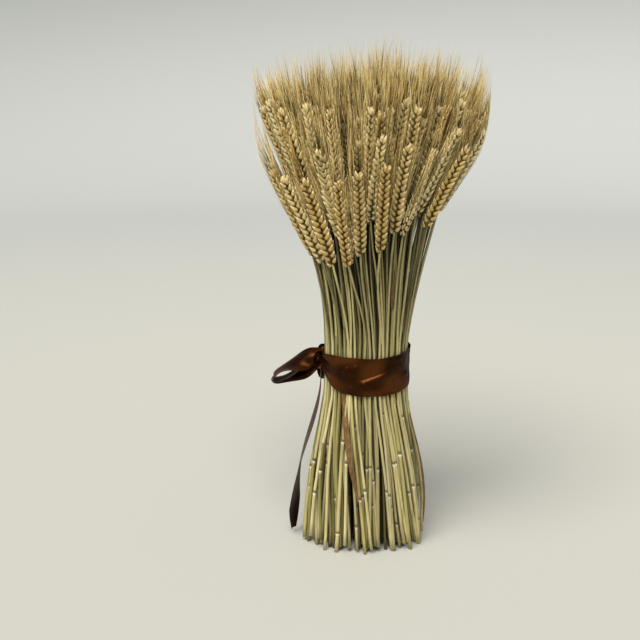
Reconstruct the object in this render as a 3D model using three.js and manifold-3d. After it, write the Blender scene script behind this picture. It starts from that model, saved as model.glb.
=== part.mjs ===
// A standing sheaf of dried bearded wheat, tied at the waist with a wide satin ribbon.
// Millimetres, +Z up, front towards -Y. The origin is on the ground under the middle of the sheaf.
//
// The stalks are grouped in bunches, as they are gathered by hand: one bunch in the heart and twelve
// round it. Each bunch is one body: stems that stand on their cut ends, ears of overlapping spikelets,
// and stiff bristles (awns). The ribbon is one strip: a band, a knot, two loops and two tails.
import * as THREE from "three";
import { mergeVertices } from "three/addons/utils/BufferGeometryUtils.js";
import Module from "manifold-3d";

const wasm = await Module();
wasm.setup();

// Driving dimensions. The sheaf's depth is its foot's, front to back, as a share of the foot's width;
// no awn goes further out than its head.
const SHEAF = { foot: 64, depth: 0.78, waist: 41.5, waistHeight: 188, flare: 0.0125, head: 109.9 };
const BUNCHES = 12; // round the heart
const CLEARANCE = 0.4; // between two bunches, and between the stalks and the ribbon
const HEART = { share: 0.385, most: 25 }; // its radius, as a share of the sheaf's, and at most
const STEM = { footWidth: 4.2, waistWidth: 3.3, neckWidth: 2.4, uneven: 7 };
const EAR = { length: 89, halfWidth: 6.8, halfDepth: 4.9, spikelets: 8 };
const AWN = { width: 1.2, lift: -0.15 };
const CORE = { bottom: 28, top: 372, spread: 0.03, inset: 6.5, waistInset: 2.6, flute: 2 };
const RIBBON = { width: 38, thickness: 1.2 };
const KNOT = { azimuth: 166, height: 190, gather: 0.7, depth: 5, width: 8.5, tall: 8.5 };

// The layers of the head: the height of an ear's foot, by how much that varies and how much lower it
// is towards LOW_SIDE, how far out from the axis the foot is, how much the ear arches outwards, which
// of its spikelets have an awn, counted from the foot, and how far the awns reach past it.
const LAYERS = {
  low: { foot: 330, vary: 11, lower: 24, out: 61, arch: 0.07, awned: [3, 6], reach: 66 },
  middle: { foot: 342, vary: 10, lower: 9, out: 62, arch: 0.05, awned: [2, 6], reach: 66 },
  high: { foot: 364, vary: 7, lower: 0, out: 65, arch: 0.03, awned: [3, 5, 6], reach: 57 },
  crown: { foot: 368, vary: 5, lower: 0, out: 36, arch: 0.05, awned: [3, 6], reach: 50 },
};
const LOW_SIDE = 230; // degrees: the left of the front
const SPREAD = 0.16; // how much further out the foot of an ear is for each millimetre of height

// The heights at which a stem bends, below, under and above the ribbon, and a packed core does.
const STEM_ROWS = [85, 169, 207, 250];
const CORE_ROWS = [CORE.bottom, 100, SHEAF.waistHeight, 240, 310, CORE.top];

// Inner stems' cut ends in a bunch: share of the foot's radius, and degrees from its middle.
const STUBS = [
  [0.79, -8.5],
  [0.8, 6],
  [0.6, -1],
];

// Dry leaf blades left on a few stems: the bunch, the stem in it, the height, and how the blade goes.
const LEAVES = [
  { bunch: 6, stalk: 2, from: 262, length: 62, width: 7, out: 0.42, side: 0.1 },
  { bunch: 10, stalk: 3, from: 248, length: 48, width: 5, out: 0.35, side: -0.08 },
  { bunch: 2, stalk: 2, from: 255, length: 55, width: 6, out: 0.4, side: 0.12 },
];

// The bow's two loops and two tails. Angles are in degrees. The front loop stands out to the left; the
// back one goes on round the sheaf.
const FRONT_LOOP = { heading: 180, droop: 27, length: 54, open: 12, tilt: 0.12 };
const BACK_LOOP = { sweep: 62, drop: 20, out: 10, open: 16 };
const LOOP_ENDS = 3; // half the distance between a loop's two ends in the knot
const TAILS = [
  { azimuth: 171, lean: 0, face: 7, turn: -24, length: 186 },
  { azimuth: 154, lean: -24, face: 0, turn: 10, length: 163 },
];

const rad = THREE.MathUtils.degToRad;
const HALF = Math.PI / BUNCHES; // half of a bunch's share of the circle
const smooth = (t) => THREE.MathUtils.smoothstep(t, 0, 1);
const mix = THREE.MathUtils.lerp;

// The way out from the axis at an azimuth.
function outward(azimuth) {
  return new THREE.Vector3(Math.cos(azimuth), Math.sin(azimuth), 0);
}

// A repeatable draw between -1 and 1.
function draw(seed) {
  const s = Math.sin(seed * 12.9898) * 43758.5453;
  return 2 * (s - Math.floor(s)) - 1;
}

// The outside of the stalks at a height: wide at the foot, level under the ribbon, flared above it.
function sheafRadius(z) {
  const { foot, waist, waistHeight, flare } = SHEAF;
  const above = z - waistHeight - RIBBON.width / 2;
  if (above > 0) return waist + flare * above ** 1.6;
  const share = Math.max(z, 0) / (waistHeight - RIBBON.width / 2);
  return mix(foot, waist, smooth(share ** 1.5));
}

// The foot is less deep than wide: how far out the sheaf is at an azimuth, as a share of its radius.
function flatness(z, azimuth) {
  const depth = mix(SHEAF.depth, 1, smooth(Math.max(0, Math.min(1, z / 165))));
  return depth / Math.hypot(depth * Math.cos(azimuth), Math.sin(azimuth));
}

function heartRadius(z) {
  return Math.min(HEART.most, HEART.share * sheafRadius(z));
}

// A round three.js cylinder, closed at both ends or drawn to a point, whose vertices are moved by
// place(t, turn, rim): t runs from 0 to 1 along it, turn is the angle round it, and rim is 0 on its
// centre line and 1 on its side.
function shaped(sides, rows, pointed, place) {
  const geometry = new THREE.CylinderGeometry(pointed ? 0 : 1, 1, 1, sides, rows);
  const position = geometry.getAttribute("position");
  for (let i = 0; i < position.count; i++) {
    const [x, y, z] = [position.getX(i), position.getY(i), position.getZ(i)];
    const rim = Math.hypot(x, z) > 1e-6 ? 1 : 0;
    position.setXYZ(i, ...place(y + 0.5, Math.atan2(x, z), rim));
  }
  return solid(geometry);
}

// The manifold solid of a closed three.js geometry.
function solid(geometry) {
  geometry.deleteAttribute("normal");
  geometry.deleteAttribute("uv");
  const merged = mergeVertices(geometry, 1e-4);
  const vertProperties = new Float32Array(merged.getAttribute("position").array);
  const triVerts = new Uint32Array(merged.index.array);
  return new wasm.Manifold(new wasm.Mesh({ numProp: 3, vertProperties, triVerts }));
}

// The frame of a curve at t: its point, its way along, a level way across and the way out.
function frameOf(curve, t) {
  const step = 0.01;
  const point = curve(t);
  const along = curve(t + step).sub(curve(t - step)).normalize();
  const out = new THREE.Vector3(point.x, point.y, 0);
  if (out.length() < 1) out.set(0, -1, 0);
  const across = new THREE.Vector3(0, 0, 1).cross(out).normalize();
  return { point, along, across, out: across.clone().cross(along).normalize() };
}

// The point of a frame moved by a across, b out and c along it.
function offset({ point, along, across, out }, a, b, c = 0) {
  return point.clone().addScaledVector(across, a).addScaledVector(out, b).addScaledVector(along, c);
}

// A bunch's room. keep moves a point clear of the neighbouring bunches by a margin.
function outerRoom(azimuth) {
  const e = [Math.cos(azimuth), Math.sin(azimuth)];
  return (p, margin) => {
    const inner = heartRadius(p.z) * Math.cos(HALF) + CLEARANCE + margin;
    const u = Math.max(p.x * e[0] + p.y * e[1], inner);
    const most = u * Math.tan(HALF) - (CLEARANCE / 2 + margin) / Math.cos(HALF);
    const v = THREE.MathUtils.clamp(p.y * e[0] - p.x * e[1], -most, most);
    return new THREE.Vector3(u * e[0] - v * e[1], u * e[1] + v * e[0], p.z);
  };
}

function heartRoom(p, margin) {
  const most = heartRadius(p.z) * Math.cos(HALF) - margin;
  const r = Math.hypot(p.x, p.y);
  return r > most ? new THREE.Vector3((p.x * most) / r, (p.y * most) / r, p.z) : p.clone();
}

// The path of a stem from its cut end to the foot of its ear, by height.
function stemPoint(stalk, z) {
  const top = SHEAF.waistHeight + RIBBON.width / 2;
  const around = sheafRadius(Math.min(z, top)) * flatness(z, stalk.azimuth);
  const ring = (around - stemWidth(z) / 2) * stalk.share;
  const u = Math.max(0, (z - top) / (stalk.foot - top));
  const r = ring + (stalk.out - ring) * u ** 2.5;
  const azimuth = mix(stalk.azimuth, stalk.earAzimuth, smooth(Math.min(1, u)));
  return outward(azimuth).multiplyScalar(r).setZ(z);
}

function stemWidth(z) {
  const { footWidth, waistWidth, neckWidth } = STEM;
  if (z < SHEAF.waistHeight) return mix(footWidth, waistWidth, z / SHEAF.waistHeight);
  return mix(waistWidth, neckWidth, Math.min(1, (z - SHEAF.waistHeight) / 100));
}

// The path of an ear: it goes on as its stem comes in, and arches outwards a little.
function earPath(stalk) {
  const foot = stemPoint(stalk, stalk.foot);
  const slope = foot.distanceTo(stemPoint(stalk, stalk.foot - 1).setZ(foot.z));
  const lean = Math.atan(slope);
  return (t) => {
    const s = t * stalk.length;
    const out = s * (Math.sin(lean) + stalk.arch * t);
    const at = foot.clone().addScaledVector(outward(stalk.earAzimuth), out);
    return at.setZ(stalk.foot + Math.cos(lean) * s);
  };
}

// A stalk: a straw from its level cut end up, and its ear. The ear's spikelets stand in two rows, by
// turns to the left and to the right. Each swells towards its tip and overlaps the next, so that the
// front shows their plait.
function stalkBody(stalk, heights, keep) {
  const path = earPath(stalk);
  const rows = heights.length + EAR.spikelets;
  return shaped(4, rows, true, (t, turn, rim) => {
    const row = Math.round(t * rows);
    if (row < heights.length) return strawPoint(stalk, heights[row], turn, rim, keep, row === 0);
    return earPoint(stalk, path, row - heights.length, turn, rim, keep);
  });
}

function strawPoint(stalk, z, turn, rim, keep, cut) {
  const frame = frameOf((dz) => stemPoint(stalk, z + dz), 0);
  const half = (rim * stemWidth(z)) / 2;
  frame.point = keep(frame.point, half);
  const corner = turn + Math.PI / 4;
  const reach = half * Math.SQRT2;
  const p = keep(offset(frame, reach * Math.sin(corner), reach * Math.cos(corner)), 0);
  return cut ? p.setZ(z) : p;
}

function earPoint(stalk, path, row, turn, rim, keep) {
  const rows = EAR.spikelets;
  const t = row / rows;
  const onRight = Math.round(turn / (Math.PI / 2)) === 1;
  const onLeft = Math.round(turn / (Math.PI / 2)) === -1;
  const swollen = (onRight && row % 2 === 1) || (onLeft && row % 2 === 0);
  const body = Math.sin(Math.PI * (0.16 + 0.84 * t) ** 0.75) ** 0.45;
  const flank = rim * EAR.halfWidth * body * (swollen ? 1 : 0.6);
  const face = rim * EAR.halfDepth * body * (row % 2 ? 1 : 0.86);
  const frame = frameOf(path, t + (swollen && row < rows ? 0.45 / rows : 0));
  frame.point = keep(frame.point, 0.9 * EAR.halfWidth * body);
  return keep(rolled(frame, stalk.roll, flank * Math.sin(turn), face * Math.cos(turn)), 0);
}

// The point of an ear's frame, with the ear rolled about its own middle line.
function rolled(frame, roll, a, b) {
  const across = a * Math.cos(roll) - b * Math.sin(roll);
  return offset(frame, across, a * Math.sin(roll) + b * Math.cos(roll));
}

// The stiff bristles of an ear: each starts in the tip of a spikelet and runs up to a fine point.
function awns(stalk, keep) {
  const path = earPath(stalk);
  return stalk.awned.map((spikelet, i) => {
    const side = spikelet % 2 ? 1 : -1;
    const from = (spikelet + 0.3) / EAR.spikelets;
    const root = frameOf(path, from);
    const length = stalk.reach + (1 - from) * 0.3 * stalk.length;
    const fan = side * (0.2 + 0.06 * draw(stalk.seed + i)) * length;
    const lift = AWN.lift - stalk.arch + 0.09 * draw(stalk.seed + 3 * i + 1);
    const foot = keep(rolled(root, stalk.roll, side * 0.55 * EAR.halfWidth, 0), 1.5);
    const tip = keep(offset(root, fan, lift * length, length), 1);
    const over = Math.hypot(tip.x, tip.y) / SHEAF.head;
    if (over > 1) tip.set(tip.x / over, tip.y / over, tip.z);
    const bristle = (t) => foot.clone().lerp(tip, t);
    return shaped(3, 1, true, (t, turn, rim) => {
      const half = (rim * AWN.width) / 2;
      return offset(frameOf(bristle, t), half * Math.sin(turn), half * Math.cos(turn));
    });
  });
}

// A dry leaf blade that stands off its stem: a thin arched strip, drawn to a point.
function leaf(stalk, { from, length, width, out, side }, keep) {
  const root = frameOf((dz) => stemPoint(stalk, from + dz), 0);
  const path = (t) => {
    const s = t * length;
    return keep(offset(root, side * s, out * s * (1 - 0.45 * t), s * (1 - 0.2 * t)), 1.4);
  };
  return shaped(4, 4, true, (t, turn, rim) => {
    const wide = (rim * width * Math.sin(Math.PI * (0.2 + 0.7 * t))) / 2;
    const thick = rim * 0.45;
    return offset(frameOf(path, t), wide * Math.sin(turn), thick * Math.cos(turn));
  });
}

// A bunch's packed inner stems, smaller than the bunch: a ribbed column that its outer stems clasp.
// Its section has two inner corners and a ribbed arc of five. side is 0 in the middle, 1 at the edge.
function outerCore(azimuth, keep) {
  const sides = [0, 0.5, 1, 1, -1, -1, -0.5];
  return shaped(sides.length, CORE_ROWS.length - 1, false, (t, turn, rim) => {
    const z = CORE_ROWS[Math.round(t * (CORE_ROWS.length - 1))];
    const corner = Math.round((turn / (2 * Math.PI)) * sides.length + sides.length) % sides.length;
    const inside = corner === 3 || corner === 4;
    const rib = Math.abs(sides[corner]) === 0.5 ? CORE.flute : 0;
    const angle = azimuth + rim * sides[corner] * HALF;
    const outside = z === CORE.top ? HEART.most + 6 : coreRadius(z, angle);
    const middle = (outside + heartRadius(z)) / 2;
    const r = !rim ? middle : inside ? heartRadius(z) : outside - rib;
    return keep(new THREE.Vector3(r * Math.cos(angle), r * Math.sin(angle), z), 0);
  });
}

// The packed inner stems fill the waist and spread less than the outer ones do, below and above it.
function coreRadius(z, azimuth) {
  const above = z - SHEAF.waistHeight;
  if (above > 0) return SHEAF.waist - CORE.waistInset + CORE.spread * above;
  const inset = mix(CORE.waistInset, CORE.inset, smooth(-above / RIBBON.width));
  return sheafRadius(z) * flatness(z, azimuth) - inset;
}

// The heart's packed stems: a column of twelve flat sides, one for each bunch round it.
function heartCore() {
  return shaped(BUNCHES, CORE_ROWS.length - 1, false, (t, turn, rim) => {
    const z = CORE_ROWS[Math.round(t * (CORE_ROWS.length - 1))];
    const r = rim * heartRadius(z);
    return new THREE.Vector3(r * Math.sin(turn + HALF), -r * Math.cos(turn + HALF), z);
  });
}

// The cut end of an inner stem, below the packed column.
function stub(r, azimuth, cut) {
  return shaped(4, 1, false, (t, turn, rim) => {
    const a = azimuth + turn + Math.PI / 4;
    const reach = (rim * STEM.footWidth) / Math.SQRT2;
    const x = r * Math.cos(azimuth) + reach * Math.sin(a);
    const y = r * Math.sin(azimuth) - reach * Math.cos(a);
    return new THREE.Vector3(x, y, mix(cut, CORE.bottom + 8, t));
  });
}

// The largest body of a union: everything that is rooted in it.
function joined(pieces) {
  const bodies = wasm.Manifold.union(pieces).decompose();
  return bodies.reduce((a, b) => (b.volume() > a.volume() ? b : a));
}

// A stalk of one layer of the head, a little shorter or longer than its neighbours.
function stalkIn(layer, seed, options) {
  const { foot, vary, lower, out, arch, awned, reach } = LAYERS[layer];
  const higher = vary * draw(seed) - lower * Math.cos(options.azimuth - rad(LOW_SIDE));
  return {
    share: 1,
    foot: foot + higher,
    out: out + SPREAD * higher + 1.5 * draw(seed + 0.5),
    awned,
    reach: reach + 1.5 * draw(seed + 0.7),
    length: EAR.length + 2.5 * draw(seed + 0.2),
    roll: 0.5 * draw(seed + 0.9),
    arch,
    cut: 0,
    seed,
    ...options,
  };
}

// One of the twelve bunches: five stems round its outside, each with its ear, and a sixth ear inside.
// Offsets are in degrees from the middle of the bunch, first at the waist and then at the ear.
function outerBunch(index) {
  const azimuth = 2 * HALF * index;
  const keep = outerRoom(azimuth);
  const mirror = index % 2 ? -1 : 1;
  const plan = [
    ["low", -12, -9],
    ["high", -6, -6.2],
    ["middle", 0, 0.4],
    ["high", 6, 6],
    ["low", 12, 9],
  ];
  const stalks = plan.map(([layer, atWaist, atEar], i) => {
    const seed = 7 * index + i + 1;
    return stalkIn(layer, seed, {
      azimuth: azimuth + mirror * rad(atWaist),
      earAzimuth: azimuth + mirror * rad(atEar),
      cut: i % 2 ? Math.max(0, STEM.uneven * draw(seed + 0.4)) : 0,
    });
  });
  const inner = { azimuth, earAzimuth: azimuth, share: 0.65 };
  const crown = stalkIn("crown", 7 * index + 7, inner);
  return joined([
    outerCore(azimuth, keep),
    ...stalks.map((s) => stalkBody(s, [s.cut, ...STEM_ROWS, s.foot], keep)),
    stalkBody(crown, [CORE.top - 50, crown.foot], keep),
    ...[...stalks, crown].flatMap((s) => awns(s, keep)),
    ...LEAVES.filter((l) => l.bunch === index).map((l) => leaf(stalks[l.stalk], l, keep)),
    ...STUBS.map(([share, degrees], i) => {
      const cut = STEM.uneven * Math.abs(draw(11 * index + i));
      const at = azimuth + rad(degrees);
      return stub(share * SHEAF.foot * flatness(0, at), at, cut);
    }),
  ]);
}

// The bunch in the middle of the sheaf: one ear at the centre and five round it.
function heartBunch() {
  const stalks = Array.from({ length: 6 }, (_, i) => {
    const azimuth = rad(72 * i + 20);
    const out = i === 5 ? 0.5 : 15;
    return stalkIn("crown", 200 + i, { azimuth, earAzimuth: azimuth, out, share: 0.3, arch: 0 });
  });
  return joined([
    heartCore(),
    ...stalks.map((s) => stalkBody(s, [CORE.top - 20, s.foot], heartRoom)),
    ...stalks.flatMap((s) => awns(s, heartRoom)),
    ...stalks.map((s, i) => stub(s.out, s.azimuth, STEM.uneven * Math.abs(draw(300 + i)))),
  ]);
}

// A length of ribbon along a path: across(t) is the way of its width.
function strip(rows, path, across, width) {
  const geometry = new THREE.BoxGeometry(1, 1, 1, rows, 1, 1);
  const position = geometry.getAttribute("position");
  const step = 0.25 / rows;
  for (let i = 0; i < position.count; i++) {
    const t = position.getX(i) + 0.5;
    const side = across(t).clone().normalize();
    const along = path(t + step).sub(path(t - step));
    const face = along.cross(side).normalize();
    const p = path(t).addScaledVector(side, position.getY(i) * width(t));
    p.addScaledVector(face, position.getZ(i) * RIBBON.thickness);
    position.setXYZ(i, p.x, p.y, p.z);
  }
  return solid(geometry);
}

const UP = new THREE.Vector3(0, 0, 1);
const knotOut = SHEAF.waist + CLEARANCE + KNOT.depth;
const knotAt = outward(rad(KNOT.azimuth)).multiplyScalar(knotOut).setZ(KNOT.height);

// The band goes once round the waist and is drawn together where both its ends go into the knot.
function band() {
  const rows = 28;
  const r = (SHEAF.waist + CLEARANCE + RIBBON.thickness / 2) / Math.cos(Math.PI / rows);
  const nearKnot = (t) => Math.exp(-((Math.min(t, 1 - t) / 0.1) ** 2));
  const path = (t) => {
    const rise = nearKnot(t) * (KNOT.height - SHEAF.waistHeight);
    return outward(rad(KNOT.azimuth + 360 * t)).multiplyScalar(r).setZ(SHEAF.waistHeight + rise);
  };
  return strip(rows, path, () => UP, (t) => RIBBON.width * (1 - KNOT.gather * nearKnot(t)));
}

function knotBody() {
  const geometry = new THREE.SphereGeometry(1, 7, 5);
  geometry.rotateX(Math.PI / 2);
  geometry.scale(KNOT.depth, KNOT.width, KNOT.tall);
  geometry.rotateZ(rad(KNOT.azimuth));
  geometry.translate(...knotAt);
  return solid(geometry);
}

// How far a loop's two halves are apart, once round it: most, nearer to its far end.
function opening(open, t) {
  const s = 2 * Math.PI * t;
  return 0.72 * open * Math.sin(s) * Math.sin(s / 2) ** 2 + LOOP_ENDS * Math.cos(s / 2);
}

// How much of its width a loop has: it is gathered where its ends go into the knot.
function spread(t) {
  return smooth(Math.min(1, Math.min(t, 1 - t) * 5));
}

function loopWidth(t) {
  return RIBBON.width * mix(1 - KNOT.gather, 1, spread(t));
}

// The front loop: a teardrop that goes out from the knot along heading, drooping, and comes back.
function frontLoop({ heading, droop, length, open, tilt }) {
  const level = outward(rad(heading));
  const way = level.clone().multiplyScalar(Math.cos(rad(droop)));
  way.addScaledVector(UP, -Math.sin(rad(droop)));
  const side = new THREE.Vector3(-level.y, level.x, 0);
  const rise = way.clone().cross(side).normalize();
  const path = (t) => {
    const u = (length * (1 - Math.cos(2 * Math.PI * t))) / 2;
    return knotAt.clone().addScaledVector(way, u).addScaledVector(rise, opening(open, t));
  };
  const across = (t) => side.clone().addScaledVector(UP, -tilt * spread(t));
  return strip(12, path, across, loopWidth);
}

// The back loop: on its edge, it goes round the sheaf from the knot and comes back inside itself.
function backLoop({ sweep, drop, out, open }) {
  const path = (t) => {
    const u = Math.sin(Math.PI * t);
    const r = knotOut + out * u + opening(open, t);
    const at = outward(rad(KNOT.azimuth - sweep * u * Math.abs(u) ** 0.4)).multiplyScalar(r);
    return at.setZ(KNOT.height - drop * u);
  };
  return strip(14, path, () => UP, loopWidth);
}

// A tail: it falls from the knot beside the stems and turns a little, down to its slanting end.
function tail({ azimuth, lean, face, turn, length }) {
  const path = (t) => {
    const z = mix(KNOT.height - 7, KNOT.height - length, t);
    const way = rad(azimuth + lean * t);
    const clear = 4.5 + 11 * Math.sin(2.6 * Math.min(1, Math.max(0, t)));
    return outward(way).multiplyScalar(sheafRadius(z) * flatness(z, way) + clear).setZ(z);
  };
  const across = (t) => outward(rad(azimuth + lean * t + 90 + face + turn * Math.abs(t) ** 3));
  const width = (t) => RIBBON.width * mix(1 - KNOT.gather, 1, smooth(Math.min(1, 3 * t)));
  const end = (t) => (t > 0.999 ? 0.25 : 1);
  return strip(6, path, across, (t) => width(t) * end(t));
}

function ribbon() {
  return joined([band(), knotBody(), frontLoop(FRONT_LOOP), backLoop(BACK_LOOP), ...TAILS.map(tail)]);
}

// The sheaf: every bunch and the ribbon as a named mesh.
const STRAW = { color: "#b9a468", roughness: 0.75, metalness: 0 };
const SATIN = { color: "#4a2a18", roughness: 0.38, metalness: 0 };

function meshOf(name, body, finish) {
  const { vertProperties, triVerts } = body.getMesh();
  const geometry = new THREE.BufferGeometry();
  geometry.setAttribute("position", new THREE.BufferAttribute(vertProperties, 3));
  geometry.setIndex(new THREE.BufferAttribute(triVerts, 1));
  geometry.computeVertexNormals();
  const mesh = new THREE.Mesh(geometry, new THREE.MeshStandardMaterial(finish));
  mesh.name = name;
  return mesh;
}

const sheaf = new THREE.Group();
sheaf.add(meshOf("stalks_heart", heartBunch(), STRAW));
for (let i = 0; i < BUNCHES; i++) {
  const name = `stalks_${String(i + 1).padStart(2, "0")}`;
  sheaf.add(meshOf(name, outerBunch(i), STRAW));
}
sheaf.add(meshOf("ribbon", ribbon(), SATIN));

export default sheaf;
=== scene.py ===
# %% [markdown]
# # A standing sheaf of dried bearded wheat
# The real thing is some three hundred dry stalks, cut square at the foot and tied round the waist
# with a wide satin ribbon. Every stalk is the same few forms again: a hollow straw, an ear of
# overlapping husks, and the long bristles called awns. So each form is modelled once, copied, and
# bent to its own place. To model every stalk by hand would give more variety, not more likeness.

import math

import bpy
import numpy as np
from mathutils import Matrix, Vector


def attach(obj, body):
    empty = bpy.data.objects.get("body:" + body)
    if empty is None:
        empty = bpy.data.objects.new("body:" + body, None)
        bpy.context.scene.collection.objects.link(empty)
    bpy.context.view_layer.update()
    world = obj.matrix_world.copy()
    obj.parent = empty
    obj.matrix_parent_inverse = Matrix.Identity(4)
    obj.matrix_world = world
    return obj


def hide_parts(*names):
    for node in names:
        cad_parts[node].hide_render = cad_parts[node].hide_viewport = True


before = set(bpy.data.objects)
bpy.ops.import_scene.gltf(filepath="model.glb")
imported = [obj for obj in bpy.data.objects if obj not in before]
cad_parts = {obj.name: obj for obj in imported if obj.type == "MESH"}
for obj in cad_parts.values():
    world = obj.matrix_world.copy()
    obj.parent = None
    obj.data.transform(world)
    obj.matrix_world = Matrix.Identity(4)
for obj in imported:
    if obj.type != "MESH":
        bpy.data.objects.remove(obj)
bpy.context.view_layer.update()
MM = 0.001

# %% [markdown]
# ## Helpers for modelling
# An operator works on everything that is selected, so each step first selects one object only.
# Vertices are picked in code by their place. A copy gets its own mesh, so that it can be bent.


# %% Add, select, edit, copy and join
def added(operator, name, **settings):
    """Add a primitive with its operator, and name it."""
    bpy.ops.object.select_all(action="DESELECT")
    operator(**settings)
    piece = bpy.context.object
    piece.name = piece.data.name = name
    return piece


def only(*pieces):
    """Select just these pieces; the first is the active one."""
    bpy.ops.object.select_all(action="DESELECT")
    for piece in pieces:
        piece.select_set(True)
    bpy.context.view_layer.objects.active = pieces[0]


def edit_all(piece):
    """Go into edit mode with everything selected."""
    only(piece)
    bpy.ops.object.mode_set(mode="EDIT")
    bpy.ops.mesh.select_all(action="SELECT")


def edit_some(piece, kind, test):
    """Go into edit mode with only the vertices or faces selected whose centre passes the test."""
    only(piece)
    bpy.ops.object.mode_set(mode="EDIT")
    bpy.ops.mesh.select_mode(type=kind)
    bpy.ops.mesh.select_all(action="DESELECT")
    bpy.ops.object.mode_set(mode="OBJECT")
    if kind == "VERT":
        for v in piece.data.vertices:
            v.select = bool(test(v.co))
    else:
        for f in piece.data.polygons:
            f.select = bool(test(f.center))
    bpy.ops.object.mode_set(mode="EDIT")


def leave_edit():
    """Leave edit mode with the normals pointing outwards and the faces shaded smooth."""
    bpy.ops.mesh.select_all(action="SELECT")
    bpy.ops.mesh.normals_make_consistent(inside=False)
    bpy.ops.object.mode_set(mode="OBJECT")
    bpy.ops.object.shade_smooth()


def extrude_up(height):
    """Extrude what is selected upwards, by millimetres."""
    bpy.ops.mesh.extrude_region_move(TRANSFORM_OT_translate={"value": (0, 0, height * MM)})


def thicken(piece, thickness):
    """Give a thin sheet its thickness, in millimetres, half of it to each side."""
    only(piece)
    bpy.ops.object.modifier_add(type="SOLIDIFY")
    solidify = piece.modifiers[-1]
    solidify.thickness, solidify.offset = thickness * MM, 0
    bpy.ops.object.modifier_apply(modifier=solidify.name)


def copy_of(piece, place=None):
    """A copy with its own mesh, its vertices moved by a matrix."""
    twin = piece.copy()
    twin.data = piece.data.copy()
    bpy.context.scene.collection.objects.link(twin)
    if place is not None:
        twin.data.transform(place)
    return twin


def joined(pieces, name):
    """Join pieces into the first and name it."""
    only(*pieces)
    bpy.ops.object.join()
    whole = bpy.context.view_layer.objects.active
    whole.name = whole.data.name = name
    return whole


def points(piece):
    """The vertices of a piece as an array in millimetres."""
    flat = np.zeros(len(piece.data.vertices) * 3, np.float32)
    piece.data.vertices.foreach_get("co", flat)
    return flat.reshape(-1, 3).astype(float) / MM


def set_points(piece, places):
    piece.data.vertices.foreach_set("co", (places * MM).astype(np.float32).ravel())
    piece.data.update()


def tint(piece, mark=None, stalk=None, husk=None, inner=None):
    """Store numbers on the vertices for the materials: a mark along the form, a shade of the stalk
    and one of the husk, and how far inside the sheaf the stalk stands."""
    attribute = piece.data.attributes.get("tint")
    if attribute is None:
        attribute = piece.data.attributes.new("tint", "FLOAT_COLOR", "POINT")
    values = np.zeros(len(piece.data.vertices) * 4, np.float32)
    attribute.data.foreach_get("color", values)
    values = values.reshape(-1, 4)
    for channel, value in enumerate((mark, stalk, husk, inner)):
        if value is not None:
            values[:, channel] = value
    attribute.data.foreach_set("color", values.ravel())
    return piece


# %% [markdown]
# ## The rules of the sheaf
# The solids follow a few rules: how wide the sheaf is at each height, how a stem runs up from its
# cut end, and how its ear goes on from it. The same rules are repeated here, so that every modelled
# stalk stands where its solid does. A repeatable draw varies them, the same in every run.

# %% The outline, the stems and the ears, in millimetres
FOOT, WAIST, WAIST_Z = 66, 41.5, 188  # the radius at the foot and the waist, and the waist's height
FOOT_DEPTH, ROUND_FROM = 0.67, 165  # the foot is less deep than wide; it is round from this height
FLARE, FLARE_POWER = 0.0125, 1.6  # how fast the sheaf widens above the ribbon
BAND = 38  # the width of the ribbon
BAND_TOP, BAND_LOW = WAIST_Z + BAND / 2, WAIST_Z - BAND / 2
STEM_FOOT, STEM_WAIST, STEM_TOP = 4.2, 3.3, 2.4  # the thickness of a stem
STEM_TAPER = 100  # how far above the waist a stem is at its thinnest
STRAW_REST = 330  # the length that the straw is modelled at
EAR_REST = 89  # the length that the ear is modelled at, without its awns
REACH_REST = 66  # how far its awns reach past it
NECK_OUT = 40.3  # how far out an outer stem leaves the ribbon
STEEPER = 2.5  # an ear's slope outwards, as so many times its whole stem's
AWN_BEND, AWN_RISE = 80, 0.4  # past the ear the slope falls, over this length, to this share
HEAD, TOP, DOME = 107, 487, 20  # the head's radius, its top, and how much lower that is at its rim
SIDE_GIVE, TOP_GIVE = 6, 24  # how far an awn may still go past them


def draw(seed):
    """A repeatable number between -1 and 1."""
    s = math.sin(seed * 12.9898) * 43758.5453
    return 2 * (s - math.floor(s)) - 1


def chance(seed):
    """A repeatable number between 0 and 1."""
    return 0.5 + 0.5 * draw(seed)


def smooth(t):
    t = np.clip(t, 0, 1)
    return t * t * (3 - 2 * t)


def mix(a, b, t):
    return a + (b - a) * t


def sheaf_radius(z):
    """The outside of the stalks: wide at the foot, level under the ribbon, flared above."""
    flared = WAIST + FLARE * np.maximum(z - BAND_TOP, 0) ** FLARE_POWER
    below = mix(FOOT, WAIST, smooth((np.clip(z, 0, BAND_LOW) / BAND_LOW) ** 1.5))
    return np.where(z > BAND_TOP, flared, below)


def flatness(z, turn):
    """How far out the foot is at an angle round the axis, as a share of its radius."""
    depth = mix(FOOT_DEPTH, 1, smooth(z / ROUND_FROM))
    return depth / np.hypot(depth * np.cos(turn), np.sin(turn))


def stem_width(z):
    below = mix(STEM_FOOT, STEM_WAIST, np.clip(z, 0, WAIST_Z) / WAIST_Z)
    above = mix(STEM_WAIST, STEM_TOP, np.clip((z - WAIST_Z) / STEM_TAPER, 0, 1))
    return np.where(z < WAIST_Z, below, above)


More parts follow.
